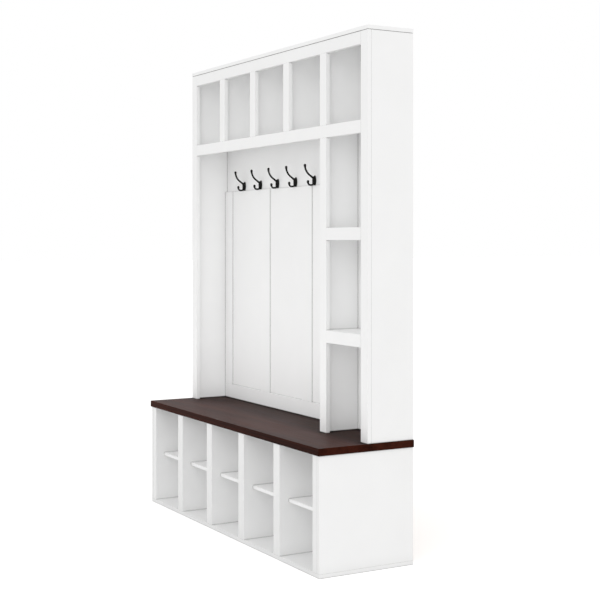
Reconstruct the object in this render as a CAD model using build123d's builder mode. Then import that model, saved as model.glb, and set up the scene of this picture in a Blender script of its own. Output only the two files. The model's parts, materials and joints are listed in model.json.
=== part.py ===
"""Hall tree: a cubby bench that carries a hutch with cubbies, a coat niche and a shelf column."""
import os

from build123d import *

# All sizes are in millimetres. The front faces -Y, +X is to the right and +Z is up.
# The origin is on the floor, under the middle of the whole piece.

# Overall sizes
body_width = 1400
base_depth = 372
hutch_depth = 184
total_height = 1828
bay_count = 5

# Board stock
board = 15
upright_thickness = 44
frame_width = 44
base_shelf_thickness = 12
hook_board_thickness = 18
back_skin = 5
edge_ease = 0.7
fine_ease = 0.4
seam_groove = 0.6

# Bench seat
bench_thickness = 25
bench_underside = 402
bench_overhang = 5
bench_top_round = 3
bench_bottom_round = 1.5

# Heights inside the hutch and the base
top_cubby_height = 255
column_bay_count = 3
base_shelf_underside = 198.5
base_shelf_setback = 38
cap_overhang = 1
cap_gap_height = 1.4
cap_gap_depth = 3.5

# Back of the coat niche
niche_depth = 151
ledge_height = 1317.5
wainscot_rail_height = 58
wainscot_first_stile = 67.5
wainscot_stile = 76
wainscot_opening = 265.5
wainscot_recess = 3.8
wainscot_panel_thickness = 6
groove_depth = 5
groove_clearance = 0.1

# Back rebates and the rail that is screwed to the wall
rebate_width = 8
skin_clearance = 0.5
hanging_rail_height = 60
wall_hole_radius = 2.75

# Double hooks
hook_count = 6
hook_pitch = 148
hook_middle_x = -147
hook_height_above_ledge = 0.6
boss_height = 37
boss_width = 18
boss_depth = 9.5
boss_round = 3
prong_radius = 2.7
prong_reach = 44.6
prong_rise = 77.5
prong_sweep = 88
tip_radius = 3.6
tip_flare_length = 10
j_height = 2.4
j_reach = 31
j_bend = 10.5
j_tip_rise = 15.8
j_tip_radius = 3.5
j_flare_length = 5

# Fasteners
fit_gap = 0.05
end_gap = 0.5
dowel_radius = 3
dowel_in_face = 10
dowel_in_end = 20
cam_bolt_radius = 2.5
cam_bolt_bore = 3.5
cam_bolt_in_face = 10
cam_reach = 24
cam_disc_radius = 7.5
cam_disc_depth = 12
cam_axis_depth = 7.5
screw_sink = 0.5
assembly_screw = {"shank": 2.5, "head": 4.6, "length": 50}
hook_screw = {"shank": 1.8, "head": 3.4, "length": 25}
skin_screw = {"shank": 1.5, "head": 2.9, "length": 16}

# Levels and planes that follow from the sizes above
half_width = body_width / 2
back_y = (base_depth + bench_overhang) / 2
base_front_y = back_y - base_depth
hutch_front_y = back_y - hutch_depth
frame_back_y = hutch_front_y + board
skin_front_y = back_y - back_skin
wainscot_y = hutch_front_y + niche_depth
hook_board_y = skin_front_y - hook_board_thickness
seat_z = bench_underside + bench_thickness
cap_z = total_height - board
top_rail_z = cap_z - frame_width
mid_rail_top_z = top_rail_z - top_cubby_height
mid_rail_z = mid_rail_top_z - frame_width
cubby_floor_z = mid_rail_top_z - board
bay_pitch = (body_width - upright_thickness) / bay_count
column_bay = (mid_rail_z - seat_z - (column_bay_count - 1) * frame_width) / column_bay_count
frame_y = (hutch_front_y, frame_back_y)
inner_y = (frame_back_y, skin_front_y)
wainscot_layer = (wainscot_y, wainscot_y + board)

# Rows of fasteners, set out from the front or back of the boards that they join
shelf_dowel_y = (base_front_y + 88, back_y - 55)
upright_dowel_y = (base_front_y + 53, base_front_y + 243)
upright_cam_y = back_y - 68
upright_screw_y = (base_front_y + 63, base_front_y + 303)
panel_dowel_y = (frame_back_y + 35, frame_back_y + 105)
cubby_dowel_y = (frame_back_y + 55, frame_back_y + 115)
cap_dowel_y = (frame_back_y + 35, frame_back_y + 75)
cap_cam_y = frame_back_y + 130
floor_dowel_y = frame_back_y + 80
floor_cam_y = (frame_back_y + 45, frame_back_y + 120)
column_back_dowel_z = (seat_z + 60, seat_z + 480, seat_z + 820)
hook_board_dowel_z = (ledge_height + 30, ledge_height + 140)
base_skin_screw_z = (60, bench_underside - 50)
hutch_skin_screw_rows = 6
hutch_skin_screw_z = (seat_z + 50, cap_z - 70)
hook_board_screw_x = (-450, -150, 150)
hanging_rail_screw_x = (-407, 0, 407)
hook_screw_z = (0.31 * boss_height, 0.58 * boss_height)


def middle(span):
    """Halfway between two limits."""
    return (span[0] + span[1]) / 2


def upright_span(index):
    """Left and right limits of a 44 mm upright or stile, counted from the left end."""
    left = -half_width + index * bay_pitch
    return (left, left + upright_thickness)


def panel_span(index):
    """Limits of the 15 mm panel behind a stile: flush with its left edge, or with the right end."""
    left, right = upright_span(index)
    return (right - board, right) if index == bay_count else (left, left + board)


def bay_span(index):
    """Clear width between two neighbouring stiles or uprights."""
    return (upright_span(index)[1], upright_span(index + 1)[0])


side_left_x = panel_span(0)
side_right_x = panel_span(bay_count)
column_index = bay_count - 1
divider_x = panel_span(column_index)
niche_x = (side_left_x[1], divider_x[0])
column_x = (divider_x[1], side_right_x[0])
base_shelf_z = (base_shelf_underside, base_shelf_underside + base_shelf_thickness)
column_step = column_bay + frame_width
column_rail_low = [seat_z + column_bay + level * column_step for level in range(column_bay_count - 1)]
column_rail_z = [(low, low + frame_width) for low in column_rail_low]
hook_x = [hook_middle_x + (index - (hook_count - 1) / 2) * hook_pitch for index in range(hook_count)]
hook_z = ledge_height + hook_height_above_ledge

# Wainscot: limits of its stiles, its thin panels and its rail
wainscot_edge = niche_x[0] + wainscot_first_stile
wainscot_pitch = wainscot_stile + wainscot_opening
wainscot_stile_x = [(niche_x[0], wainscot_edge)]
for repeat in (1, 2):
    stile_right = wainscot_edge + repeat * wainscot_pitch
    wainscot_stile_x.append((stile_right - wainscot_stile, stile_right))
wainscot_stile_x.append((stile_right + wainscot_opening, niche_x[1]))
wainscot_panel_x = [
    (left[1] - groove_depth, right[0] + groove_depth)
    for left, right in zip(wainscot_stile_x, wainscot_stile_x[1:])
]
wainscot_panel_y = (wainscot_y + wainscot_recess, wainscot_y + wainscot_recess + wainscot_panel_thickness)
wainscot_rail_z = (seat_z, seat_z + wainscot_rail_height)
wainscot_panel_z = (wainscot_rail_z[1] - groove_depth, ledge_height)


# Places of the fasteners. Each one is a plane: its origin is on the joint between two boards and its
# normal points into the board that is bored in its end, or the way a screw is driven.
into = {"left": (-1, 0, 0), "right": (1, 0, 0), "up": (0, 0, 1), "down": (0, 0, -1),
        "back": (0, 1, 0), "front": (0, -1, 0)}


def joint(x, y, z, direction, mouth=None):
    """A joint plane. The mouth, used for cams only, is the way that the disc's bore opens."""
    return Plane(origin=(x, y, z), x_dir=into[mouth] if mouth else None, z_dir=into[direction])


def base_dowels():
    """Dowels of the base: two at each shelf end and two on top of each upright."""
    found = []
    for bay in range(bay_count):
        left, right = bay_span(bay)
        for y in shelf_dowel_y:
            found.append(joint(left, y, middle(base_shelf_z), "right"))
            found.append(joint(right, y, middle(base_shelf_z), "left"))
    for index in range(bay_count + 1):
        for y in upright_dowel_y:
            found.append(joint(middle(upright_span(index)), y, bench_underside, "down"))
    return found


def frame_dowels():
    """Dowels that join the stiles and rails of the face frame, and stand the stiles on the seat."""
    y = middle(frame_y)
    found = []
    for rail_low in (mid_rail_z, top_rail_z):
        found.append(joint(bay_span(0)[0], y, rail_low + frame_width / 2, "right"))
        found.append(joint(bay_span(column_index)[1], y, rail_low + frame_width / 2, "left"))
    for span in column_rail_z:
        found.append(joint(bay_span(column_index)[0], y, middle(span), "right"))
        found.append(joint(bay_span(column_index)[1], y, middle(span), "left"))
    for index in range(1, bay_count):
        found.append(joint(middle(upright_span(index)), y, mid_rail_top_z, "up"))
        found.append(joint(middle(upright_span(index)), y, top_rail_z, "down"))
    for index in (0, column_index, bay_count):
        found.append(joint(middle(upright_span(index)), y, seat_z, "up"))
    found.append(joint(middle(upright_span(column_index)), y, mid_rail_z, "down"))
    return found


def case_dowels():
    """Dowels of the hutch case: panels to the seat, the cubby floor, the shelves and the cap."""
    found = []
    for y in cap_dowel_y:
        found.append(joint(middle(side_left_x), y, cap_z, "down"))
        found.append(joint(middle(side_right_x), y, cap_z, "down"))
    for index in range(1, bay_count):
        for y in cubby_dowel_y:
            found.append(joint(middle(panel_span(index)), y, mid_rail_top_z, "up"))
            found.append(joint(middle(panel_span(index)), y, cap_z, "down"))
    floor_middle_z = cubby_floor_z + board / 2
    found.append(joint(side_left_x[1], floor_dowel_y, floor_middle_z, "right"))
    found.append(joint(side_right_x[0], floor_dowel_y, floor_middle_z, "left"))
    for y in panel_dowel_y:
        for span in (side_left_x, divider_x, side_right_x):
            found.append(joint(middle(span), y, seat_z, "up"))
        found.append(joint(middle(divider_x), y, cubby_floor_z, "down"))
        for span in column_rail_z:
            found.append(joint(column_x[0], y, span[1] - board / 2, "right"))
            found.append(joint(column_x[1], y, span[1] - board / 2, "left"))
    return found


def back_dowels():
    """Dowels of the back boards: column back, hook board, wainscot rail and stiles, hanging rail."""
    found = []
    layer_y = middle(wainscot_layer)
    for z in column_back_dowel_z:
        found.append(joint(column_x[0], layer_y, z, "right"))
        found.append(joint(column_x[1], layer_y, z, "left"))
    hook_y = hook_board_y + hook_board_thickness / 2
    for z in hook_board_dowel_z:
        found.append(joint(niche_x[0], hook_y, z, "right"))
        found.append(joint(niche_x[1], hook_y, z, "left"))
    found.append(joint(niche_x[0], layer_y, middle(wainscot_rail_z), "right"))
    found.append(joint(niche_x[1], layer_y, middle(wainscot_rail_z), "left"))
    for span in wainscot_stile_x:
        found.append(joint(middle(span), layer_y, seat_z + wainscot_rail_height, "up"))
    hanging_z = cap_z - hanging_rail_height / 2
    found.append(joint(side_left_x[1], skin_front_y - board / 2, hanging_z, "right"))
    found.append(joint(side_right_x[0], skin_front_y - board / 2, hanging_z, "left"))
    return found


def cam_joints():
    """Cam fittings: one on each upright, two at each end of the cubby floor, one under the cap."""
    found = []
    for index in range(bay_count + 1):
        left, right = upright_span(index)
        if index == 0:
            found.append(joint(right - cam_axis_depth, upright_cam_y, bench_underside, "down", "right"))
        else:
            found.append(joint(left + cam_axis_depth, upright_cam_y, bench_underside, "down", "left"))
    floor_middle_z = cubby_floor_z + board / 2
    for y in floor_cam_y:
        found.append(joint(side_left_x[1], y, floor_middle_z, "right", "down"))
        found.append(joint(side_right_x[0], y, floor_middle_z, "left", "down"))
    found.append(joint(middle(side_left_x), cap_cam_y, cap_z, "down", "right"))
    found.append(joint(middle(side_right_x), cap_cam_y, cap_z, "down", "left"))
    return found


def assembly_screw_places():
    """Screws driven upwards: bottom board to uprights, and seat to the niche and column backs."""
    found = []
    for index in range(bay_count + 1):
        for y in upright_screw_y:
            found.append(joint(middle(upright_span(index)), y, 0, "up"))
    for bay in range(bay_count):
        found.append(joint(middle(bay_span(bay)), middle(wainscot_layer), bench_underside, "up"))
    return found


def hook_screw_places():
    """Two screws through the boss of each hook into the hook board."""
    front = hook_board_y - boss_depth
    return [joint(x, front, hook_z + z, "back") for x in hook_x for z in hook_screw_z]


def base_skin_screws():
    """Screws of the base back: two on every upright."""
    found = []
    for index in range(bay_count + 1):
        x = middle(upright_span(index))
        if index == 0:
            x = upright_span(index)[1] - rebate_width / 2
        if index == bay_count:
            x = upright_span(index)[0] + rebate_width / 2
        for z in base_skin_screw_z:
            found.append(joint(x, back_y, z, "front"))
    return found


def hutch_skin_screws():
    """Screws of the hutch back, round its edges and into the boards behind it."""
    found = []
    edge_x = side_right_x[0] + rebate_width / 2
    lowest, highest = hutch_skin_screw_z
    for row in range(hutch_skin_screw_rows):
        z = lowest + row * (highest - lowest) / (hutch_skin_screw_rows - 1)
        found.append(joint(-edge_x, back_y, z, "front"))
        found.append(joint(edge_x, back_y, z, "front"))
    for bay in range(bay_count):
        found.append(joint(middle(bay_span(bay)), back_y, cubby_floor_z + board / 2, "front"))
    for x in hook_board_screw_x:
        found.append(joint(x, back_y, middle((ledge_height, cubby_floor_z)), "front"))
    for x in hanging_rail_screw_x:
        found.append(joint(x, back_y, cap_z - hanging_rail_height / 2, "front"))
    return found


dowels = base_dowels() + frame_dowels() + case_dowels() + back_dowels()
cams = cam_joints()
assembly_screws = assembly_screw_places()
hook_screws = hook_screw_places()
skin_screws = base_skin_screws() + hutch_skin_screws()
wall_hole_x = [middle(bay_span(1)), middle(bay_span(3))]
wall_holes = [joint(x, back_y, cap_z - hanging_rail_height / 2, "front") for x in wall_hole_x]


def inside(plane, distance, spans):
    """Whether the point at this distance along a plane's normal is inside a board's limits."""
    point = plane.origin + plane.z_dir * distance
    return all(low < value < high for value, (low, high) in zip(point, spans))


def reaching(planes, start, end, spans):
    """The fasteners, lying from start to end along their planes, that end inside a board."""
    return [plane for plane in planes if inside(plane, start, spans) or inside(plane, end, spans)]


def cylinders(planes, radius, start, end, mode=Mode.ADD):
    """Add or cut a round bar on each plane's axis, between two distances along it."""
    with BuildSketch(*[plane.offset(start) for plane in planes]) as disc:
        Circle(radius)
    extrude(disc.sketch, amount=end - start, mode=mode)


def bore_for_screws(planes, screw, spans):
    """Bore a board for its screws, with a countersink that sinks the head below the surface."""
    found = reaching(planes, 1, screw["length"], spans)
    if found:
        cylinders(found, screw["shank"] + fit_gap, 0, screw_sink + screw["length"] + end_gap, Mode.SUBTRACT)
        countersink(found, screw)


def countersink(planes, screw):
    """Cut the cones that let the screw heads in, measured from the plane they are driven from."""
    with BuildSketch(*[plane.offset(-end_gap) for plane in planes]) as mouth:
        Circle(screw["head"] + end_gap + screw_sink + 2 * fit_gap)
    depth = end_gap + screw_sink + screw["head"] - screw["shank"]
    extrude(mouth.sketch, amount=depth, taper=45, mode=Mode.SUBTRACT)


def bore_for_cams(spans):
    """Bore the face of one board for cam bolts, and the end of the other for bolts and discs."""
    in_face = [plane for plane in cams if inside(plane, -cam_bolt_in_face, spans)]
    in_end = [plane for plane in cams if inside(plane, cam_reach, spans)]
    if in_face:
        depth = cam_bolt_in_face + end_gap
        cylinders(in_face, cam_bolt_radius + fit_gap, -depth, end_gap, Mode.SUBTRACT)
    if in_end:
        cylinders(in_end, cam_bolt_bore, 0, cam_reach, Mode.SUBTRACT)
        mouths = disc_planes(in_end)
        cylinders(mouths, cam_disc_radius + fit_gap, 0, cam_disc_depth + end_gap, Mode.SUBTRACT)


def disc_planes(joints):
    """The planes of the cam discs: at the mouth of each bore, facing into the board."""
    found = []
    for plane in joints:
        mouth = plane.origin + plane.z_dir * cam_reach + plane.x_dir * cam_axis_depth
        found.append(Plane(origin=mouth, x_dir=plane.z_dir, z_dir=-plane.x_dir))
    return found


def bore(spans):
    """Bore the board being built for every fastener that ends inside its limits."""
    found = reaching(dowels, -dowel_in_face, dowel_in_end, spans)
    if found:
        start, end = -dowel_in_face - end_gap, dowel_in_end + end_gap
        cylinders(found, dowel_radius + fit_gap, start, end, Mode.SUBTRACT)
    bore_for_cams(spans)
    bore_for_screws(assembly_screws, assembly_screw, spans)
    bore_for_screws(skin_screws, skin_screw, spans)
    bore_for_screws(hook_screws, hook_screw, spans)


def block(x_span, y_span, z_span, mode=Mode.ADD):
    """Add or cut a square-edged block between three pairs of limits."""
    with BuildSketch(Plane.XY.offset(z_span[0])) as outline:
        with Locations((middle(x_span), middle(y_span))):
            Rectangle(x_span[1] - x_span[0], y_span[1] - y_span[0])
    extrude(outline.sketch, amount=z_span[1] - z_span[0], mode=mode)


def plank(x_span, y_span, z_span, grain, ease=edge_ease):
    """Add a board, ease its edges along the grain and bore it for its fasteners."""
    block(x_span, y_span, z_span)
    chamfer(edges().filter_by(grain), ease)
    bore((x_span, y_span, z_span))


def save(piece, name):
    """Label a finished piece and write it to its own file."""
    piece.part.label = name
    export_step(piece.part, f"parts/{name}.step")


os.makedirs("parts", exist_ok=True)

# Base: bottom board, six uprights, five shelves and a hardboard back. Each side is a board glued to a
# filler, and a fine groove on its front marks the seam between them.
body_x = (-half_width, half_width)
base_y = (base_front_y, back_y)

with BuildPart() as base_bottom_board:
    block(body_x, base_y, (0, board))
    chamfer(faces().sort_by(Axis.Z)[-1].edges().sort_by(Axis.Y)[:-1], edge_ease)
    bore((body_x, base_y, (0, board)))
save(base_bottom_board, "base_bottom_board")

upright_names = ["base_side_left"]
upright_names += [f"base_divider_{index}" for index in range(1, bay_count)]
upright_names += ["base_side_right"]
for index, name in enumerate(upright_names):
    with BuildPart() as upright:
        span = upright_span(index)
        is_side = index in (0, bay_count)
        depth = base_y if is_side else (base_front_y, skin_front_y)
        plank(span, depth, (board, bench_underside), Axis.Z)
        if is_side:
            inner = span[1] - rebate_width if index == 0 else span[0] + rebate_width
            edge = span[1] if index == 0 else span[0]
            rebate = (min(inner, edge), max(inner, edge))
            block(rebate, (skin_front_y, back_y), (board, bench_underside), Mode.SUBTRACT)
            seam = span[0] + board if index == 0 else span[1] - board
            seam_x = (seam - seam_groove / 2, seam + seam_groove / 2)
            seam_y = (base_front_y, base_front_y + seam_groove)
            block(seam_x, seam_y, (board, bench_underside), Mode.SUBTRACT)
    save(upright, name)

for bay in range(bay_count):
    with BuildPart() as base_shelf:
        shelf_y = (base_front_y + base_shelf_setback, skin_front_y)
        plank(bay_span(bay), shelf_y, base_shelf_z, Axis.X, fine_ease)
    save(base_shelf, f"base_shelf_{bay + 1}")

with BuildPart() as base_back_panel:
    reach = upright_span(bay_count)[0] + rebate_width - skin_clearance
    block((-reach, reach), (skin_front_y, back_y), (board, bench_underside))
    bore(((-reach, reach), (skin_front_y, back_y), (board, bench_underside)))
save(base_back_panel, "base_back_panel")

# Seat: one board with rounded edges along the front and both ends.
with BuildPart() as bench_top:
    bench_x = (-half_width - bench_overhang, half_width + bench_overhang)
    bench_y = (base_front_y - bench_overhang, back_y)
    bench_z = (bench_underside, seat_z)
    block(bench_x, bench_y, bench_z)
    fillet(edges().filter_by(Axis.Z).group_by(Axis.Y)[0], bench_top_round)
    fillet(faces().sort_by(Axis.Z)[-1].edges().sort_by(Axis.Y)[:-1], bench_top_round)
    fillet(faces().sort_by(Axis.Z)[0].edges().sort_by(Axis.Y)[:-1], bench_bottom_round)
    bore((bench_x, bench_y, bench_z))
save(bench_top, "bench_top")

# Hutch case: sides with a rebate for the back, column divider, cubby floor, dividers and cap. The cap
# stands on a slightly smaller core, which leaves a narrow shadow gap along its front and its ends.
for name, span, rebate in (
    ("hutch_side_left", side_left_x, (side_left_x[1] - rebate_width, side_left_x[1])),
    ("hutch_side_right", side_right_x, (side_right_x[0], side_right_x[0] + rebate_width)),
):
    with BuildPart() as hutch_side:
        plank(span, (frame_back_y, back_y), (seat_z, cap_z), Axis.Z)
        block(rebate, (skin_front_y, back_y), (seat_z, cap_z), Mode.SUBTRACT)
    save(hutch_side, name)

with BuildPart() as column_divider:
    plank(divider_x, inner_y, (seat_z, cubby_floor_z), Axis.Z, fine_ease)
save(column_divider, "column_divider")

with BuildPart() as cubby_floor:
    plank((side_left_x[1], side_right_x[0]), inner_y, (cubby_floor_z, mid_rail_top_z), Axis.X, fine_ease)
save(cubby_floor, "cubby_floor")

hanging_rail_y = (skin_front_y - board, skin_front_y)
hanging_rail_z = (cap_z - hanging_rail_height, cap_z)
for index in range(1, bay_count):
    with BuildPart() as cubby_divider:
        span = panel_span(index)
        plank(span, inner_y, (mid_rail_top_z, cap_z), Axis.Z, fine_ease)
        block(span, hanging_rail_y, hanging_rail_z, Mode.SUBTRACT)
    save(cubby_divider, f"cubby_divider_{index}")

with BuildPart() as cap_board:
    cap_x = (-half_width - cap_overhang, half_width + cap_overhang)
    cap_y = (hutch_front_y - cap_overhang, back_y)
    block(cap_x, cap_y, (cap_z + cap_gap_height, total_height))
    chamfer(faces().sort_by(Axis.Z)[-1].edges().sort_by(Axis.Y)[:-1], edge_ease)
    core_x = (-half_width + cap_gap_depth, half_width - cap_gap_depth)
    block(core_x, (hutch_front_y + cap_gap_depth, back_y), (cap_z, cap_z + cap_gap_height))
    bore((cap_x, cap_y, (cap_z, total_height)))
save(cap_board, "cap_board")

with BuildPart() as hanging_rail:
    plank((side_left_x[1], side_right_x[0]), hanging_rail_y, hanging_rail_z, Axis.X, fine_ease)
    cylinders(wall_holes, wall_hole_radius, 0, back_skin + board + end_gap, Mode.SUBTRACT)
save(hanging_rail, "hanging_rail")

# Face frame: outer stiles run full height, rails run between them, inner stiles between the rails.
for name, index in (("hutch_stile_left", 0), ("hutch_stile_right", bay_count)):
    with BuildPart() as outer_stile:
        plank(upright_span(index), frame_y, (seat_z, cap_z), Axis.Z)
    save(outer_stile, name)

frame_x = (bay_span(0)[0], bay_span(column_index)[1])
for name, low in (("mid_rail", mid_rail_z), ("top_rail", top_rail_z)):
    with BuildPart() as rail:
        plank(frame_x, frame_y, (low, low + frame_width), Axis.X, fine_ease)
    save(rail, name)

for index in range(1, bay_count):
    with BuildPart() as cubby_stile:
        plank(upright_span(index), frame_y, (mid_rail_top_z, top_rail_z), Axis.Z, fine_ease)
    save(cubby_stile, f"cubby_stile_{index}")

with BuildPart() as column_stile:
    plank(upright_span(column_index), frame_y, (seat_z, mid_rail_z), Axis.Z, fine_ease)
save(column_stile, "column_stile")

# Shelf column: two rails with a shelf behind each, and a plain back board.
for name, span in zip(("lower", "upper"), column_rail_z):
    with BuildPart() as column_rail:
        plank(bay_span(column_index), frame_y, span, Axis.X, fine_ease)
    save(column_rail, f"column_rail_{name}")
    with BuildPart() as column_shelf:
        shelf_y = (frame_back_y, wainscot_y)
        plank(column_x, shelf_y, (span[1] - board, span[1]), Axis.X, fine_ease)
    save(column_shelf, f"column_shelf_{name}")

with BuildPart() as column_back_board:
    plank(column_x, wainscot_layer, (seat_z, cubby_floor_z), Axis.Z, fine_ease)
save(column_back_board, "column_back_board")

# Wainscot: a rail on the seat, four stiles on the rail and three thin panels in their grooves.
wainscot_stile_z = (wainscot_rail_z[1], ledge_height)


def cut_grooves():
    """Cut the grooves that hold the thin panels, a little wider than the panels."""
    groove_y = (wainscot_panel_y[0] - groove_clearance, wainscot_panel_y[1] + groove_clearance)
    groove_z = (wainscot_panel_z[0] - groove_clearance, wainscot_panel_z[1] + groove_clearance)
    for left, right in wainscot_panel_x:
        groove_x = (left - groove_clearance, right + groove_clearance)
        block(groove_x, groove_y, groove_z, Mode.SUBTRACT)


with BuildPart() as wainscot_rail:
    plank(niche_x, wainscot_layer, wainscot_rail_z, Axis.X, fine_ease)
    cut_grooves()
save(wainscot_rail, "wainscot_rail")

for index, span in enumerate(wainscot_stile_x):
    with BuildPart() as stile:
        plank(span, wainscot_layer, wainscot_stile_z, Axis.Z, fine_ease)
        cut_grooves()
    save(stile, f"wainscot_stile_{index + 1}")

for index, span in enumerate(wainscot_panel_x):
    with BuildPart() as wainscot_panel:
        block(span, wainscot_panel_y, wainscot_panel_z)
    save(wainscot_panel, f"wainscot_panel_{index + 1}")

with BuildPart() as hook_board:
    plank(niche_x, (hook_board_y, skin_front_y), (ledge_height, cubby_floor_z), Axis.X, fine_ease)
save(hook_board, "hook_board")

# Hutch back: hardboard in the rebates of the sides, with the wall holes through it.
with BuildPart() as hutch_back_panel:
    reach = side_right_x[0] + rebate_width - skin_clearance
    skin_z = (seat_z, cap_z)
    block((-reach, reach), (skin_front_y, back_y), skin_z)
    bore(((-reach, reach), (skin_front_y, back_y), skin_z))
    cylinders(wall_holes, wall_hole_radius, 0, back_skin, Mode.SUBTRACT)
save(hutch_back_panel, "hutch_back_panel")


# Double hook: an oval boss, a long prong that sweeps up and out, and a short J below it.
def hook_side_plane(x):
    """The hook's upright middle plane: local X points out from the board and local Y is up."""
    return Plane(origin=(x, hook_board_y, hook_z), x_dir=into["front"], z_dir=into["left"])


def flared_tip(side, neck, tip, radius):
    """Widen the end of a prong from its neck to its tip, and round it off with half a ball."""
    start = side.from_local_coords(Vector(*neck))
    along = side.from_local_coords(Vector(*tip)) - start
    half_plane = Plane(origin=start, x_dir=along, z_dir=side.z_dir)
    with BuildSketch(half_plane) as half:
        with BuildLine():
            Polyline((along.length + radius, 0), (0, 0), (0, prong_radius), (along.length, radius))
            CenterArc((along.length, 0), radius, 0, 90)
        make_face()
    revolve(half.sketch, axis=Axis(start, along))


for number, x in enumerate(hook_x, start=1):
    side = hook_side_plane(x)
    boss_middle = (x, hook_board_y, hook_z + boss_height / 2)
    with BuildPart() as hook:
        with BuildSketch(Plane(origin=boss_middle, x_dir=into["right"], z_dir=into["front"])):
            Ellipse(boss_width / 2, boss_height / 2)
        extrude(amount=boss_depth)
        fillet(faces().sort_by(Axis.Y)[0].edges(), boss_round)
        with BuildLine(side) as long_path:
            CenterArc((0, prong_rise), prong_reach, -prong_sweep, prong_sweep)
        with BuildSketch(Plane(origin=long_path.line @ 0, z_dir=long_path.line % 0)):
            Circle(prong_radius)
        sweep(path=long_path.line)
        with BuildLine(side) as short_path:
            Line((prong_radius, j_height), (j_reach - j_bend, j_height))
            CenterArc((j_reach - j_bend, j_height + j_bend), j_bend, -90, 90)
        with BuildSketch(Plane(origin=short_path.line @ 0, z_dir=short_path.line % 0)):
            Circle(prong_radius)
        sweep(path=short_path.line)
        sweep_arc = long_path.edge()
        neck = side.to_local_coords(sweep_arc @ (1 - tip_flare_length / sweep_arc.length))
        flared_tip(side, (neck.X, neck.Y), (prong_reach, prong_rise), tip_radius)
        flared_tip(side, (j_reach, j_tip_rise - j_flare_length), (j_reach, j_tip_rise), j_tip_radius)
        mine = [plane for plane in hook_screws if abs(plane.origin.X - x) < boss_width]
        screw_depth = boss_depth + end_gap
        cylinders(mine, hook_screw["shank"] + fit_gap, -end_gap, screw_depth, Mode.SUBTRACT)
        countersink(mine, hook_screw)
    save(hook, f"hook_{number}")

# Fasteners: one file for each identical kind.
with BuildPart() as wood_dowels:
    cylinders(dowels, dowel_radius, -dowel_in_face, dowel_in_end)
save(wood_dowels, "wood_dowels")

with BuildPart() as cam_bolts:
    cylinders(cams, cam_bolt_radius, -cam_bolt_in_face, cam_reach)
save(cam_bolts, "cam_bolts")

with BuildPart() as cam_discs:
    cylinders(disc_planes(cams), cam_disc_radius, 0, cam_disc_depth)
    cylinders(cams, cam_bolt_bore, 0, cam_reach + cam_bolt_bore, Mode.SUBTRACT)
save(cam_discs, "cam_discs")

for name, places, screw in (
    ("assembly_screws", assembly_screws, assembly_screw),
    ("hook_screws", hook_screws, hook_screw),
    ("back_panel_screws", skin_screws, skin_screw),
):
    with BuildPart() as screws:
        cylinders(places, screw["shank"], screw_sink, screw_sink + screw["length"])
        with BuildSketch(*[plane.offset(screw_sink) for plane in places]):
            Circle(screw["head"])
        extrude(amount=screw["head"] - screw["shank"], taper=45)
        with BuildSketch(*[plane.offset(screw_sink) for plane in places]):
            Rectangle(1.3 * screw["head"], 0.26 * screw["head"])
            Rectangle(0.26 * screw["head"], 1.3 * screw["head"])
        extrude(amount=0.45 * screw["shank"], mode=Mode.SUBTRACT)
    save(screws, name)
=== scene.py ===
"""The looks of the hall tree: paint, stained wood, cast hooks, studio floor, light and camera."""

import json
from math import cos, pi, radians, sin

import bmesh
import bpy
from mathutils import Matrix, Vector


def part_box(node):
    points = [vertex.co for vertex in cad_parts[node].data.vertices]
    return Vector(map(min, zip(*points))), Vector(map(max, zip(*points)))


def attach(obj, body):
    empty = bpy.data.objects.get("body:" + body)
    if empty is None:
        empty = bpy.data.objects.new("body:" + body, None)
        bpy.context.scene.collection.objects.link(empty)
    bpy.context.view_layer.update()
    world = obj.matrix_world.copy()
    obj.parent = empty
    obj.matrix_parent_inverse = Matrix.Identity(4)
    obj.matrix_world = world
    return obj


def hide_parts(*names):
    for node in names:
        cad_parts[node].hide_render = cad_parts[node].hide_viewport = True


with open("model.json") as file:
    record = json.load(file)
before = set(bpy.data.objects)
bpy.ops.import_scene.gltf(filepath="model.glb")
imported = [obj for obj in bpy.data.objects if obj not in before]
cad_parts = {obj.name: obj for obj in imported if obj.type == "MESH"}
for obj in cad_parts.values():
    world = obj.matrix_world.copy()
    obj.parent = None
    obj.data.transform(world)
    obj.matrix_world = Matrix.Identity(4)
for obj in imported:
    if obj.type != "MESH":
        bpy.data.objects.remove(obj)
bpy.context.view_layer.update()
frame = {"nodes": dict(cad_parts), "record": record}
nodes = frame["nodes"]
MM = 0.001

# ---------------------------------------------------------------- node helpers


def new_material(name, **sockets):
    """A material with one Principled shader, whose uniform values are set on its own sockets."""
    made = bpy.data.materials.new(name)
    made.use_nodes = True
    shader = made.node_tree.nodes["Principled BSDF"]
    for socket, value in sockets.items():
        shader.inputs[socket.replace("_", " ")].default_value = value
    return made, made.node_tree, shader


def put(tree, node, socket, value):
    """Set a node's input, or link it where the value is another node's output."""
    if isinstance(value, bpy.types.NodeSocket):
        tree.links.new(value, node.inputs[socket])
    else:
        node.inputs[socket].default_value = value


def stretched(tree, scale):
    """The place on the object in metres, times a scale for each axis."""
    place = tree.nodes.new("ShaderNodeTexCoord").outputs["Object"]
    mapping = tree.nodes.new("ShaderNodeMapping")
    put(tree, mapping, "Vector", place)
    put(tree, mapping, "Scale", scale)
    return mapping.outputs["Vector"]


def noise(tree, scale, detail=2.0, roughness=0.5, distortion=0.0):
    """Noise from 0 to 1. The scale is in waves per metre, one number or one for each axis."""
    if isinstance(scale, (int, float)):
        scale = (scale, scale, scale)
    texture = tree.nodes.new("ShaderNodeTexNoise")
    put(tree, texture, "Vector", stretched(tree, scale))
    put(tree, texture, "Scale", 1.0)
    put(tree, texture, "Detail", detail)
    put(tree, texture, "Roughness", roughness)
    put(tree, texture, "Distortion", distortion)
    return texture.outputs["Fac"]


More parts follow.
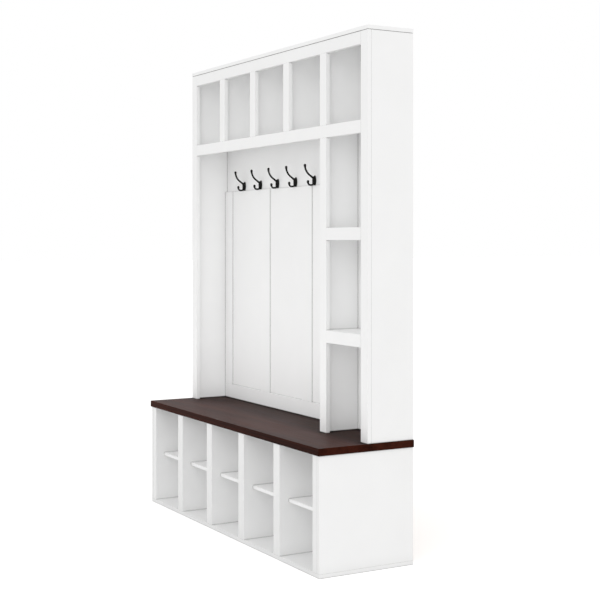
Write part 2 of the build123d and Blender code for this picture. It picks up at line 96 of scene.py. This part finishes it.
def remap(tree, value, low, high, to_low=0.0, to_high=1.0):
    """Stretch a value's range from low..high to another one, and clamp it there."""
    ranged = tree.nodes.new("ShaderNodeMapRange")
    for socket, number in zip(("Value", "From Min", "From Max", "To Min", "To Max"),
                              (value, low, high, to_low, to_high)):
        put(tree, ranged, socket, number)
    return ranged.outputs["Result"]


def blend_colours(tree, factor, first, second):
    """Mix two colours. Each is a tuple of three numbers or another node's output."""
    mix = tree.nodes.new("ShaderNodeMix")
    mix.data_type = "RGBA"
    tree.links.new(factor, mix.inputs["Factor"])
    for index, colour in ((6, first), (7, second)):
        if isinstance(colour, tuple):
            mix.inputs[index].default_value = (*colour, 1.0)
        else:
            tree.links.new(colour, mix.inputs[index])
    return mix.outputs[2]


def maths(tree, operation, first, second):
    """One step of arithmetic between two values."""
    step = tree.nodes.new("ShaderNodeMath")
    step.operation = operation
    put(tree, step, 0, first)
    put(tree, step, 1, second)
    return step.outputs[0]


def bump(tree, height, distance, normal=None):
    """Raise the surface by a height from 0 to 1 times a distance in metres."""
    raised = tree.nodes.new("ShaderNodeBump")
    put(tree, raised, "Height", height)
    put(tree, raised, "Distance", distance)
    if normal is not None:
        put(tree, raised, "Normal", normal)
    return raised.outputs["Normal"]


def rounded(tree, radius):
    """The surface normal with its edges rounded to a radius in metres."""
    soft = tree.nodes.new("ShaderNodeBevel")
    soft.samples = 4
    put(tree, soft, "Radius", radius)
    return soft.outputs["Normal"]


def edge_mask(tree, radius):
    """1 along the edges of a piece and 0 away from them."""
    agreement = tree.nodes.new("ShaderNodeVectorMath")
    agreement.operation = "DOT_PRODUCT"
    put(tree, agreement, 0, rounded(tree, radius))
    put(tree, agreement, 1, tree.nodes.new("ShaderNodeNewGeometry").outputs["Normal"])
    return remap(tree, agreement.outputs["Value"], 0.995, 0.80)


def rubbed_edges(tree, radius, patches, detail):
    """1 in patches along the edges of a piece and 0 elsewhere, with so many patches per metre."""
    patchy = remap(tree, noise(tree, patches, detail), 0.45, 0.7)
    return maths(tree, "MULTIPLY", edge_mask(tree, radius), patchy)


def facing(tree, axis, low, high):
    """From 0 to 1 as the face's outward direction along an axis goes from low to high."""
    split = tree.nodes.new("ShaderNodeSeparateXYZ")
    put(tree, split, 0, tree.nodes.new("ShaderNodeNewGeometry").outputs["True Normal"])
    return remap(tree, split.outputs[axis], low, high)


def occlusion_shade(tree, reach, open_air, closed_in, most):
    """Ambient occlusion used as a painted-shade mask: from 0 on open faces to most in corners and gaps, by
    how much of the air within reach is free.
    """
    shelter = tree.nodes.new("ShaderNodeAmbientOcclusion")
    shelter.samples = 8
    put(tree, shelter, "Distance", reach)
    return remap(tree, shelter.outputs["AO"], open_air, closed_in, 0, most)


def painted_corner_shade(tree, colour, most):
    """Paint shade into a pale colour: greyer towards its corners as painted occlusion shade, and dark in
    its joints as painted contact shadow.
    """
    # Painted shade: grey over 60 mm into corners, then a near-black painted shadow within 5 mm of joints.
    colour = blend_colours(tree, occlusion_shade(tree, 60 * MM, 0.95, 0.45, most), colour, (0.50, 0.50, 0.495))
    return blend_colours(tree, occlusion_shade(tree, 5 * MM, 0.9, 0.3, 0.8), colour, (0.20, 0.195, 0.185))


# ---------------------------------------------------------------- materials


def white_paint():
    """Satin white paint on fibreboard: faint orange peel, slightly rubbed edges, painted shade in its
    corners and joints.
    """
    made, tree, shader = new_material("white_paint", Specular_IOR_Level=0.42)
    cloudy = remap(tree, noise(tree, 7.0, 3.0), 0.3, 0.7)
    mottled = remap(tree, noise(tree, 260.0, 3.0, 0.6), 0.3, 0.7)
    paint = blend_colours(tree, cloudy, (0.918, 0.919, 0.918), (0.936, 0.937, 0.937))
    paint = blend_colours(tree, remap(tree, mottled, 0, 1, 0, 0.35), paint, (0.905, 0.905, 0.900))
    worn = rubbed_edges(tree, 1.5 * MM, 90.0, 4.0)
    paint = blend_colours(tree, remap(tree, worn, 0, 1, 0, 0.4), paint, (0.80, 0.785, 0.75))
    # The paint's colour carries painted shade in its corners and joints.
    tree.links.new(painted_corner_shade(tree, paint, 0.17), shader.inputs["Base Color"])
    shine = maths(tree, "ADD", remap(tree, cloudy, 0, 1, 0.36, 0.44), remap(tree, mottled, 0, 1, 0, 0.05))
    tree.links.new(shine, shader.inputs["Roughness"])
    peel = noise(tree, 620.0, 2.0, 0.6)
    waves = noise(tree, 45.0, 1.0)
    normal = bump(tree, waves, 0.10 * MM, rounded(tree, 0.5 * MM))
    tree.links.new(bump(tree, peel, 0.02 * MM, normal), shader.inputs["Normal"])
    return made


def espresso_wood():
    """Dark red-brown stain under lacquer, the grain along the seat, with painted shade: darker and less
    glossy by the walls and on the upright edge faces.
    """
    made, tree, shader = new_material("espresso_wood")
    painted_shade_colour = (0.002, 0.0008, 0.0006)
    figure = noise(tree, (1.1, 12.0, 12.0), 5.0, 0.6, 0.5)
    streaks = noise(tree, (3.5, 150.0, 150.0), 4.0, 0.6, 0.3)
    pores = remap(tree, noise(tree, (26.0, 1500.0, 1500.0), 2.0, 0.5), 0.60, 0.72)
    rubbed = rubbed_edges(tree, 2 * MM, 60.0, 3.0)
    upright_face_shade = facing(tree, "Z", 0.9, 0.6)
    wall_shade_broad = occlusion_shade(tree, 300 * MM, 0.92, 0.60, 1)
    wall_shade_close = occlusion_shade(tree, 60 * MM, 0.85, 0.5, 1)

    broad, narrow = remap(tree, figure, 0.34, 0.66, 0, 0.5), remap(tree, streaks, 0.3, 0.7, 0, 0.5)
    grain = maths(tree, "ADD", broad, narrow)
    stain = blend_colours(tree, grain, (0.014, 0.0026, 0.0010), (0.080, 0.0175, 0.0086))
    stain = blend_colours(tree, remap(tree, pores, 0, 1, 0, 0.7), stain, (0.008, 0.002, 0.0012))
    stain = blend_colours(tree, remap(tree, rubbed, 0, 1, 0, 0.3), stain, (0.075, 0.024, 0.014))
    # Painted shade: the stain goes near black by the walls and where it meets them, and darker on the
    # upright edge faces.
    for mask, strength in ((upright_face_shade, 0.22), (wall_shade_broad, 0.6), (wall_shade_close, 0.9)):
        stain = blend_colours(tree, remap(tree, mask, 0, 1, 0, strength), stain, painted_shade_colour)
    tree.links.new(stain, shader.inputs["Base Color"])

    # Painted shade in the reflection: the specular level drops near the walls, at them and on the upright
    # edge faces.
    gloss = remap(tree, wall_shade_broad, 0, 1, 0.057, 0.014)
    for mask, share in ((wall_shade_close, 0.05), (upright_face_shade, 0.52)):
        gloss = maths(tree, "MULTIPLY", gloss, remap(tree, mask, 0, 1, 1, share))
    tree.links.new(gloss, shader.inputs["Specular IOR Level"])
    satin = remap(tree, streaks, 0.3, 0.7, 0.38, 0.45)
    shine = maths(tree, "ADD", satin, remap(tree, pores, 0, 1, 0, 0.1))
    tree.links.new(shine, shader.inputs["Roughness"])
    normal = bump(tree, noise(tree, 500.0, 2.0), 0.012 * MM, rounded(tree, 0.6 * MM))
    normal = bump(tree, streaks, 0.05 * MM, normal)
    normal = bump(tree, maths(tree, "SUBTRACT", 1.0, pores), 0.03 * MM, normal)
    tree.links.new(normal, shader.inputs["Normal"])
    return made


def hardboard():
    """Hardboard: white coated on the faces that show inside, with painted shade in their corners and
    joints, plain brown fibre on the back.
    """
    made, tree, shader = new_material("hardboard", Specular_IOR_Level=0.35)
    fibre = noise(tree, (240.0, 240.0, 240.0), 5.0, 0.7, 0.8)
    brown = blend_colours(tree, remap(tree, fibre, 0.3, 0.7), (0.27, 0.165, 0.095), (0.37, 0.245, 0.155))
    flecks = remap(tree, noise(tree, (900.0, 900.0, 900.0), 2.0), 0.64, 0.72)
    brown = blend_colours(tree, remap(tree, flecks, 0, 1, 0, 0.5), brown, (0.17, 0.095, 0.05))
    clouds = remap(tree, noise(tree, 5.0, 3.0), 0.3, 0.7, 0, 0.3)
    brown = blend_colours(tree, clouds, brown, (0.42, 0.29, 0.19))
    coat = blend_colours(tree, remap(tree, fibre, 0.3, 0.7), (0.915, 0.915, 0.91), (0.935, 0.935, 0.93))
    # Painted shade in the corners and joints of the white coat.
    coat = painted_corner_shade(tree, coat, 0.35)
    rear = facing(tree, "Y", 0.4, 0.6)
    tree.links.new(blend_colours(tree, rear, coat, brown), shader.inputs["Base Color"])
    tree.links.new(remap(tree, rear, 0, 1, 0.45, 0.72), shader.inputs["Roughness"])
    tree.links.new(bump(tree, fibre, 0.04 * MM, rounded(tree, 0.4 * MM)), shader.inputs["Normal"])
    return made


def black_casting():
    """Satin black coating on a die casting: a fine grain over slow, shallow waves."""
    made, tree, shader = new_material("black_casting", Specular_IOR_Level=0.15)
    grainy = noise(tree, 1400.0, 3.0, 0.6)
    cloudy = noise(tree, 110.0, 3.0)
    blacks = (0.003, 0.0029, 0.0028), (0.007, 0.0068, 0.0065)
    black = blend_colours(tree, remap(tree, cloudy, 0.3, 0.7), *blacks)
    tree.links.new(black, shader.inputs["Base Color"])
    tree.links.new(remap(tree, cloudy, 0.3, 0.7, 0.30, 0.42), shader.inputs["Roughness"])
    tree.links.new(bump(tree, grainy, 0.02 * MM, bump(tree, cloudy, 0.05 * MM)), shader.inputs["Normal"])
    return made


def metal(name, dark, light, roughness, brushing):
    """A plated metal with a fine machined or cast texture."""
    made, tree, shader = new_material(name, Metallic=1.0)
    lines = noise(tree, brushing, 3.0, 0.6)
    spots = noise(tree, 400.0, 3.0, 0.6)
    colour = blend_colours(tree, remap(tree, spots, 0.3, 0.7), dark, light)
    tree.links.new(colour, shader.inputs["Base Color"])
    shine = remap(tree, lines, 0.3, 0.7, roughness - 0.06, roughness + 0.08)
    tree.links.new(shine, shader.inputs["Roughness"])
    tree.links.new(bump(tree, lines, 0.02 * MM), shader.inputs["Normal"])
    return made


def beech():
    """Plain beech with short darker flecks."""
    made, tree, shader = new_material("beech_dowel", Specular_IOR_Level=0.3)
    grain = noise(tree, (420.0, 420.0, 160.0), 4.0, 0.6, 0.4)
    flecks = remap(tree, noise(tree, (1500.0, 1500.0, 500.0), 2.0), 0.62, 0.72)
    wood = blend_colours(tree, remap(tree, grain, 0.3, 0.7), (0.60, 0.40, 0.235), (0.74, 0.54, 0.35))
    wood = blend_colours(tree, remap(tree, flecks, 0, 1, 0, 0.6), wood, (0.42, 0.25, 0.13))
    tree.links.new(wood, shader.inputs["Base Color"])
    tree.links.new(remap(tree, grain, 0.3, 0.7, 0.55, 0.7), shader.inputs["Roughness"])
    tree.links.new(bump(tree, grain, 0.05 * MM), shader.inputs["Normal"])
    return made


finishes = {
    "white_paint": white_paint(),
    "white_hardboard": hardboard(),
    "espresso_wood": espresso_wood(),
    "black_metal": black_casting(),
    "black_screw": metal("black_screw", (0.03, 0.03, 0.03), (0.05, 0.049, 0.047), 0.38, 900.0),
    "beech_dowel": beech(),
    "zinc_cam_bolt": metal("zinc_cam_bolt", (0.60, 0.60, 0.58), (0.72, 0.72, 0.70), 0.30, 1100.0),
    "zinc_cam_disc": metal("zinc_cam_disc", (0.48, 0.48, 0.47), (0.60, 0.60, 0.59), 0.42, 700.0),
    "zinc_screw": metal("zinc_screw", (0.60, 0.59, 0.56), (0.74, 0.73, 0.69), 0.30, 1100.0),
}
for row in frame["record"]["subparts"]:
    mesh = nodes[row["node"]].data
    mesh.materials.clear()
    mesh.materials.append(finishes[row["material_slot"]])

# ---------------------------------------------------------------- cast hooks
# The hook is drawn in millimetres from the side: out from the board, and up from the foot of its boss.
# TIP_TOP is the top of the CAD hook's tip, by which the cast hook is hung in the CAD hook's place.
PRONG_RADIUS, PRONG_REACH, PRONG_RISE, TIP_RADIUS = 3.6, 44.6, 77.0, 5.0
J_REACH, J_BEND, J_LOW, J_RISE, J_TIP_RADIUS = 31.0, 10.5, 1.0, 15.0, 5.0
BOSS_WIDTH, BOSS_HEIGHT, BOSS_DEPTH, PLATE_DEPTH, RIDGE_RADIUS = 19.5, 38.0, 11.5, 5.5, 5.8
PRONG_TURN, PRONG_STEPS, PRONG_ROOT, PRONG_ROOT_RADIUS = 55, 28, Vector((5.0, 26.0)), 4.8
J_ROOT, J_PULL, J_ROOT_RADIUS = Vector((3.0, 8.0)), Vector((9.0, J_LOW)), 4.2
SCREW_HEIGHTS, SCREW_FACE = (11.47, 21.46), 9.0
SHANK_HOLE, HEAD_HOLE, COUNTERSINK = 1.9, 3.55, 1.65
TIP_TOP = 81.1
SIDES = 24


def ring(mesh, middle, direction, wide, tall):
    """Add an oval of vertices round a side-view point, its height along a side-view direction."""
    found = []
    for step in range(SIDES):
        angle = 2 * pi * step / SIDES
        place = middle + direction * tall * cos(angle)
        found.append(mesh.verts.new((wide * sin(angle), -place.x, place.y)))
    return found


def skin(mesh, rings):
    """Join a row of rings into one closed shell."""
    for first, second in zip(rings, rings[1:]):
        for side in range(SIDES):
            after = (side + 1) % SIDES
            mesh.faces.new((first[side], first[after], second[after], second[side]))
    mesh.faces.new(rings[0])
    mesh.faces.new(rings[-1])


def tube(mesh, path, radii):
    """Add a closed round bar along side-view points, with its radius at each point."""
    rings = []
    for index, (point, radius) in enumerate(zip(path, radii)):
        along = (path[min(index + 1, len(path) - 1)] - path[max(index - 1, 0)]).normalized()
        rings.append(ring(mesh, point, Vector((-along.y, along.x)), radius, radius))
    skin(mesh, rings)


def with_ball_end(path, radii):
    """The same bar, continued as half a ball with the radius of its end."""
    along, end, radius = (path[-1] - path[-2]).normalized(), path[-1], radii[-1]
    angles = [pi / 2 * step / 8 for step in range(1, 8)]
    return (path + [end + along * radius * sin(angle) for angle in angles],
            radii + [radius * cos(angle) for angle in angles])


def swell(share, root, tip):
    """A prong's radius at a share of its length: thick at the root, slim, then flared at the tip."""
    flare = max(0.0, (share - 0.8) / 0.2)
    return (PRONG_RADIUS + (root - PRONG_RADIUS) * max(0.0, 1 - share / 0.3) ** 2
            + (tip - PRONG_RADIUS) * flare * flare * (3 - 2 * flare))


def long_prong(mesh):
    """The upper prong: straight out of the boss, then curving up to its flared tip."""
    turns = [-PRONG_TURN + PRONG_TURN * step / PRONG_STEPS for step in range(PRONG_STEPS + 1)]
    curve = [Vector((PRONG_REACH * cos(radians(turn)), PRONG_RISE + PRONG_REACH * sin(radians(turn))))
             for turn in turns]
    path = [PRONG_ROOT.lerp(curve[0], step / 12) for step in range(12)] + curve
    shares = [index / (len(path) - 1) for index in range(len(path))]
    tube(mesh, *with_ball_end(path, [swell(share, PRONG_ROOT_RADIUS, TIP_RADIUS) for share in shares]))


def short_prong(mesh):
    """The lower J: it dips out of the boss, runs level, turns up a quarter and ends in a ball."""
    turn = Vector((J_REACH - J_BEND, J_LOW + J_BEND))
    level = Vector((turn.x, J_LOW))
    shares = [step / 12 for step in range(12)]
    path = [J_ROOT * (1 - t) ** 2 + J_PULL * 2 * t * (1 - t) + level * t * t for t in shares]
    path += [turn + J_BEND * Vector((sin(pi / 2 * t), -cos(pi / 2 * t))) for t in shares]
    path += [Vector((J_REACH, turn.y)), Vector((J_REACH, J_RISE))]
    radii = [swell(index / (len(path) - 1), J_ROOT_RADIUS, J_TIP_RADIUS) for index in range(len(path))]
    tube(mesh, *with_ball_end(path, radii))


def ridge(mesh):
    """The waisted ridge on the boss that joins the roots of the two prongs."""
    shares = [step / 10 - 1 for step in range(21)]
    waist = BOSS_DEPTH - RIDGE_RADIUS
    path = [Vector((waist + 1.8 * share * share, BOSS_HEIGHT / 2 * (1 + 0.8 * share))) for share in shares]
    tube(mesh, path, [RIDGE_RADIUS * (1 - 0.28 * share * share) for share in shares])


def plate(mesh):
    """The oval plate behind the ridge: upright sides, then a shallow dome."""
    middle, up = BOSS_HEIGHT / 2, Vector((0.0, 1.0))
    wall = 2.0
    places = [(0.0, 1.0)]
    for step in range(10):
        angle = pi / 2 * step / 10
        places.append((wall + (PLATE_DEPTH - wall) * sin(angle), cos(angle)))
    skin(mesh, [ring(mesh, Vector((out, middle)), up, size * BOSS_WIDTH / 2, size * BOSS_HEIGHT / 2)
                for out, size in places])


def screw_cutter(mesh):
    """The two countersunk screw holes."""
    for height in SCREW_HEIGHTS:
        depths = (-2.0, SCREW_FACE - COUNTERSINK, SCREW_FACE, SCREW_FACE + 8.0)
        places = [Vector((out, height)) for out in depths]
        tube(mesh, places, [SHANK_HOLE, SHANK_HOLE, HEAD_HOLE, HEAD_HOLE])


def drawn(name, *draw):
    """An object made by drawing functions, scaled from millimetres, with its faces turned outwards."""
    mesh = bmesh.new()
    for step in draw:
        step(mesh)
    bmesh.ops.recalc_face_normals(mesh, faces=mesh.faces)
    bmesh.ops.scale(mesh, vec=(MM, MM, MM), verts=mesh.verts)
    data = bpy.data.meshes.new(name)
    mesh.to_mesh(data)
    mesh.free()
    made = bpy.data.objects.new(name, data)
    bpy.context.scene.collection.objects.link(made)
    return made


def cast_hook_mesh():
    """The plate, ridge and prongs fused into one casting with soft fillets, then drilled for screws."""
    raw = drawn("hook_raw", plate, ridge, long_prong, short_prong)
    cutter = drawn("hook_cutter", screw_cutter)
    fused = raw.modifiers.new("fused", "REMESH")
    fused.mode = "VOXEL"
    fused.voxel_size = 0.42 * MM
    softened = raw.modifiers.new("softened", "SMOOTH")
    softened.iterations = 6
    lighter = raw.modifiers.new("lighter", "DECIMATE")
    lighter.ratio = 0.3
    drilled = raw.modifiers.new("drilled", "BOOLEAN")
    drilled.operation = "DIFFERENCE"
    drilled.object = cutter
    finished = raw.evaluated_get(bpy.context.evaluated_depsgraph_get())
    casting = bpy.data.meshes.new_from_object(finished)
    casting.shade_smooth()
    casting.set_sharp_from_angle(angle=radians(38))
    casting.materials.clear()
    casting.materials.append(finishes["black_metal"])
    bpy.data.objects.remove(raw)
    bpy.data.objects.remove(cutter)
    return casting


casting = cast_hook_mesh()
hook_nodes = sorted(name for name in nodes if name.startswith("hook_") and name[5:].isdigit())
for name in hook_nodes:
    low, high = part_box(name)
    coat_hook = bpy.data.objects.new(f"coat_{name}", casting)
    coat_hook.location = ((low[0] + high[0]) / 2, high[1], high[2] - TIP_TOP * MM)
    bpy.context.scene.collection.objects.link(coat_hook)
    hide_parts(name)
    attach(coat_hook, "root")

# ---------------------------------------------------------------- studio


def studio_floor():
    """A plain pale floor, much wider than the view, that glows a little to the camera alone."""
    reach = 60.0
    mesh = bpy.data.meshes.new("floor")
    corners = [(-reach, -reach, 0), (reach, -reach, 0), (reach, reach, 0), (-reach, reach, 0)]
    mesh.from_pydata(corners, [], [(0, 1, 2, 3)])
    floor = bpy.data.objects.new("floor", mesh)
    bpy.context.scene.collection.objects.link(floor)
    made, tree, shader = new_material("floor", Roughness=0.9, Specular_IOR_Level=0.0)
    mottled = remap(tree, noise(tree, 3.0, 2.0), 0.3, 0.7)
    pale = blend_colours(tree, mottled, (0.962, 0.959, 0.954), (0.972, 0.969, 0.964))
    tree.links.new(pale, shader.inputs["Base Color"])
    put(tree, shader, "Emission Color", (1.0, 1.0, 1.0, 1.0))
    seen = tree.nodes.new("ShaderNodeLightPath").outputs["Is Camera Ray"]
    put(tree, shader, "Emission Strength", remap(tree, seen, 0, 1, 0, 0.42))
    mesh.materials.append(made)


def white_surround(strength):
    """A plain white surround. It gives soft light of the given strength and shows as pure white."""
    world = bpy.data.worlds.new("studio")
    world.use_nodes = True
    tree = world.node_tree
    seen = tree.nodes.new("ShaderNodeLightPath").outputs["Is Camera Ray"]
    put(tree, tree.nodes["Background"], "Color", (1.0, 1.0, 1.0, 1.0))
    put(tree, tree.nodes["Background"], "Strength", remap(tree, seen, 0, 1, strength, 1.0))
    bpy.context.scene.world = world


def aim(name, lamp, place, direction):
    """Put a lamp at a place, facing along a direction, and return the object that holds it."""
    holder = bpy.data.objects.new(name, lamp)
    holder.location = place
    holder.rotation_euler = Vector(direction).to_track_quat("-Z", "Y").to_euler()
    bpy.context.scene.collection.objects.link(holder)
    return holder


def without_shadow(lamp):
    """Make a lamp cast no shadow."""
    lamp.use_shadow = False
    lamp.cycles.cast_shadow = False


def fill_light(name, direction, strength):
    """Even light from one side, without shadows, as from a large reflector wall."""
    lamp = bpy.data.lights.new(name, "SUN")
    lamp.energy = strength * pi
    lamp.angle = 0.5
    without_shadow(lamp)
    return aim(name, lamp, (0, 0, 0), direction)


def softbox(name, place, target, size, watts):
    """A rectangular soft lamp at a place, aimed at a target."""
    lamp = bpy.data.lights.new(name, "AREA")
    lamp.shape = "RECTANGLE"
    lamp.size, lamp.size_y = size
    lamp.energy = watts
    return aim(name, lamp, place, Vector(target) - Vector(place))


def light_only(holder, collection_name, wanted):
    """Let a lamp light only the CAD pieces whose names pass a test."""
    receivers = bpy.data.collections.new(collection_name)
    for name in nodes:
        if wanted(name):
            receivers.objects.link(nodes[name])
    holder.light_linking.receiver_collection = receivers


def studio_light():
    """A white tent, two softboxes, reflector walls, and weak lamps for the shelves and the niche."""
    white_surround(strength=0.754)
    fill_light("front_wall", direction=(0, 1, 0), strength=0.068)
    fill_light("right_wall", direction=(-1, 0, 0), strength=0.15)
    overhead = fill_light("overhead_wall", direction=(0, 0, -1), strength=0.14)
    light_only(overhead, "under_overhead_wall", lambda name: name != "wainscot_rail")
    shelf_fill = fill_light("shelf_fill", direction=(0, 0.6, -1), strength=0.16)
    light_only(shelf_fill, "bay_shelves", lambda name: name.startswith("base_shelf"))
    softbox("key_softbox", place=(3.6, -3.4, 3.4), target=(0, 0, 0.8), size=(3.0, 2.0), watts=22.2)
    softbox("left_softbox", place=(-3.6, -3.6, 2.0), target=(0, 0, 0.9), size=(3.0, 3.0), watts=12.2)
    niche_lamp = softbox("niche_lamp", place=(-0.1, -0.6, 0.40), target=(-0.1, 0.17, 0.40),
                         size=(1.1, 0.15), watts=1.4)
    without_shadow(niche_lamp.data)
    seat_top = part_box("bench_top")[1][2] - MM
    light_only(niche_lamp, "above_seat", lambda name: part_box(name)[0][2] > seat_top)


def photo_camera():
    """A level camera at the viewing angle of the photograph, to the right of the piece."""
    data = bpy.data.cameras.new("camera")
    data.sensor_width = 36.0
    data.lens = 74.33
    data.shift_y = -0.0989
    data.clip_end = 200.0
    camera = bpy.data.objects.new("camera", data)
    camera.location = (4.1855, -2.2340, 1.1058)
    camera.rotation_euler = (radians(90.0), 0.0, radians(60.42))
    bpy.context.scene.collection.objects.link(camera)
    bpy.context.scene.camera = camera


studio_floor()
studio_light()
photo_camera()
bpy.context.scene.cycles.max_bounces = 5
bpy.context.scene.cycles.diffuse_bounces = 3
bpy.context.scene.view_settings.view_transform = "Standard"
